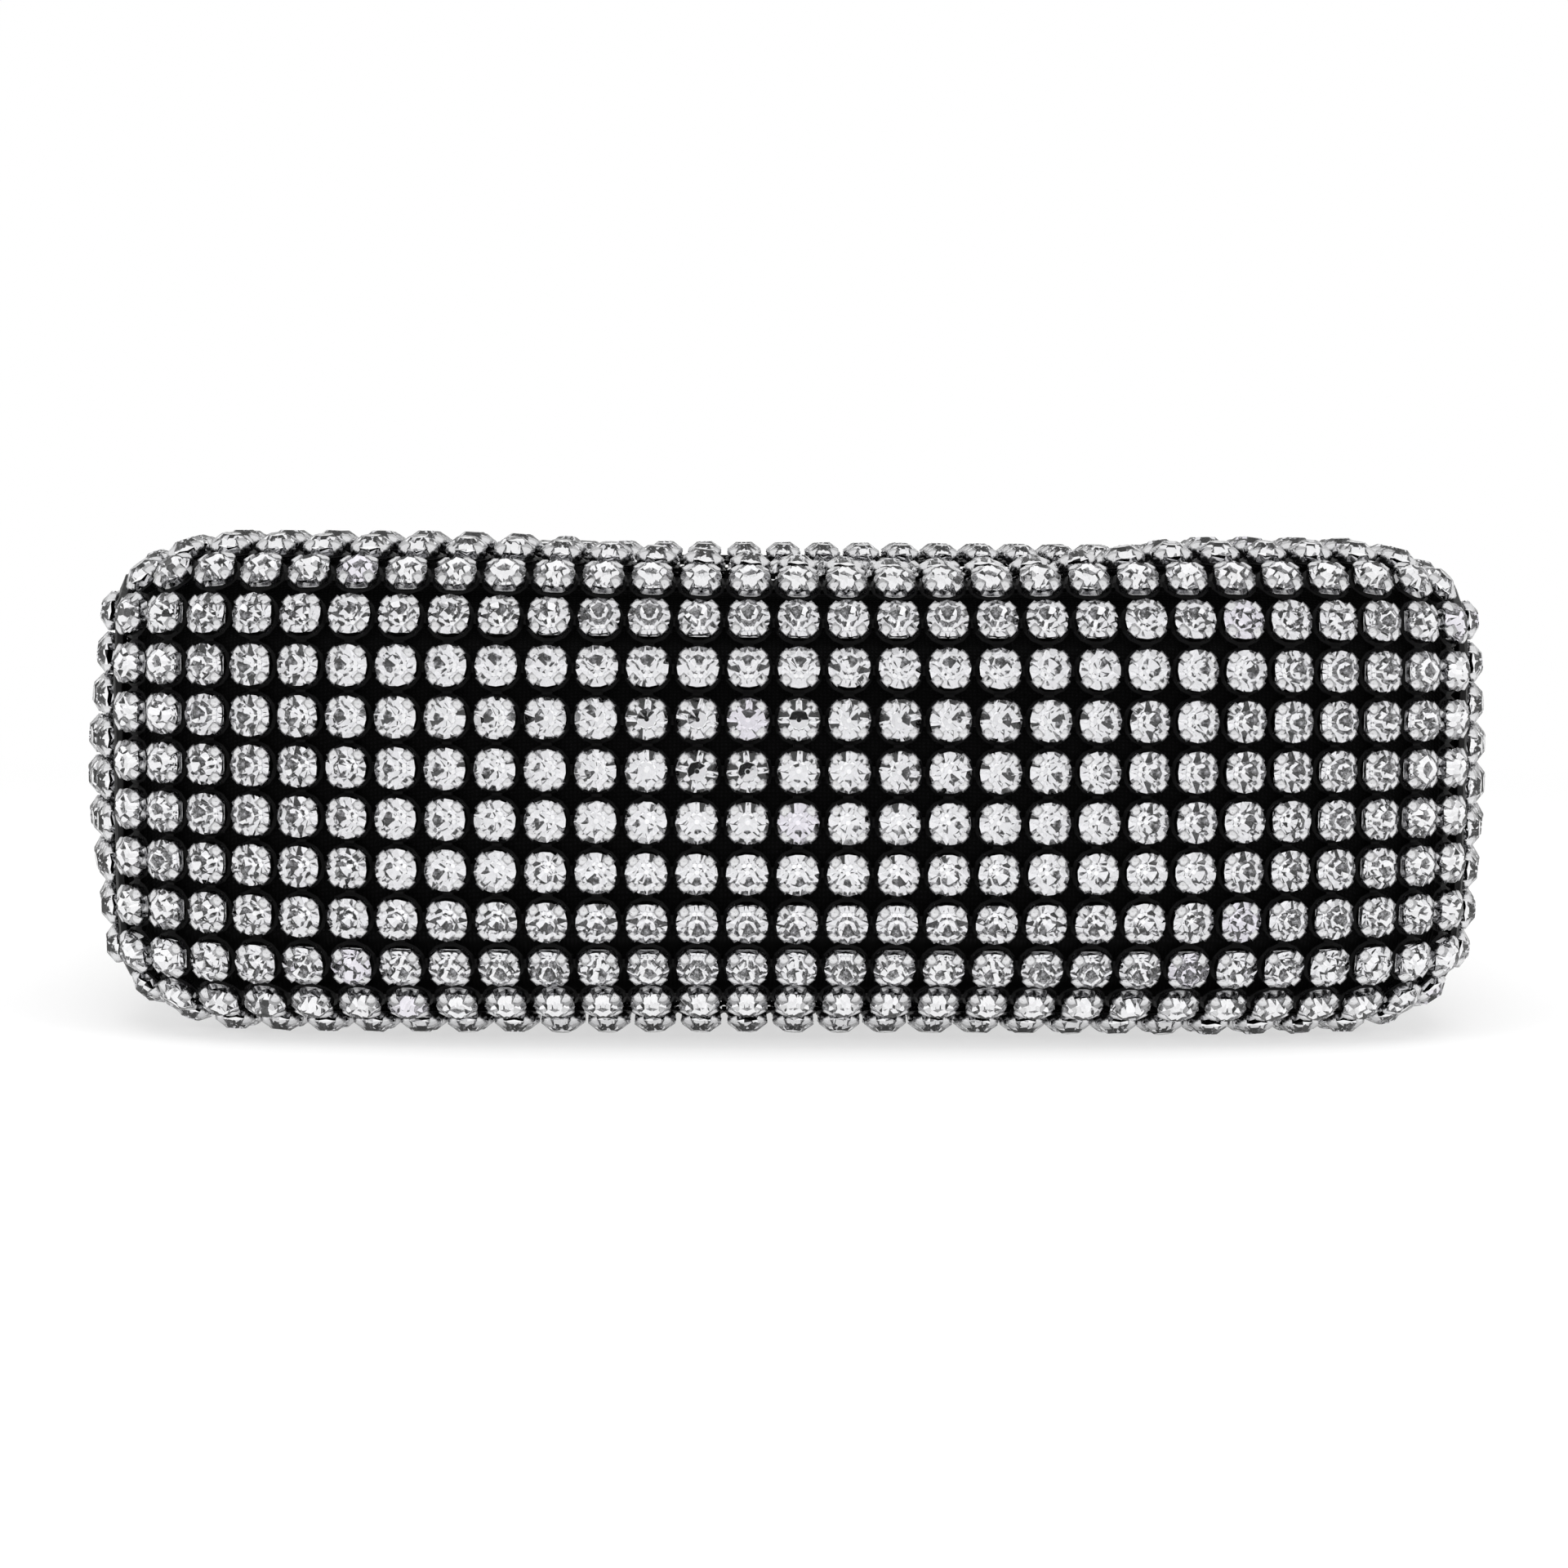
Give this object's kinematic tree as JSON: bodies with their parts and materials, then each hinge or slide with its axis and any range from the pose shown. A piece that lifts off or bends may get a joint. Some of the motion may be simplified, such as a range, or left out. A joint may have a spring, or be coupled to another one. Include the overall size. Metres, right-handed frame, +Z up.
{
  "type": "pouch",
  "caption": "Flat-backed evening pouch covered in a net of round crystals, with a padded flap that folds a lip over the front.",
  "frame": {"origin": "under the middle of the pouch as it lies, at the level of the stones that it rests on", "axes": "+X right as seen from the base, +Y from the base to the mouth, +Z up from the back panel to the front"},
  "size_m": [0.2168, 0.1249, 0.0739],
  "materials": {
    "crystal": "faceted clear crystals in bright silver four-prong cups",
    "black_cloth": "matt black cloth",
    "black_satin": "black satin",
    "greyboard": "plain",
    "nickel": "satin"
  },
  "bodies": {
    "body": {"back_board": "greyboard", "back_crystals": "crystal", "base_crystals": "crystal", "flap_hinge_tape": "black_cloth", "front_crystals": "crystal", "front_stiffener": "greyboard", "left_seam_piping": "black_satin", "left_side_crystals": "crystal", "left_side_lining": "black_satin", "left_side_padding": "black_cloth", "left_snap_socket": "nickel", "mouth_binding": "black_satin", "right_seam_piping": "black_satin", "right_side_crystals": "crystal", "right_side_lining": "black_satin", "right_side_padding": "black_cloth", "right_snap_socket": "nickel", "slip_pocket": "black_satin", "wrap_lining": "black_satin", "wrap_padding": "black_cloth"},
    "flap": {"flap_crystals": "crystal", "flap_padding": "black_cloth", "flap_board": "greyboard", "flap_lining": "black_satin", "lip_fold_tape": "black_cloth"},
    "lip": {"lip_crystals": "crystal", "lip_padding": "black_cloth", "lip_board": "greyboard", "lip_lining": "black_satin", "left_snap_disc": "nickel", "right_snap_disc": "nickel"}
  },
  "joints": [
    {"name": "flap_hinge", "type": "hinge", "parent": "body", "child": "flap", "pos_m": [0, 0.0593, 0.0032], "axis": [-1, 0, 0], "range_deg": [0, 90]},
    {"name": "lip_fold", "type": "hinge", "parent": "flap", "child": "lip", "pos_m": [0, 0.0593, 0.0707], "axis": [-1, 0, 0], "range_deg": [0, 90]}
  ]
}
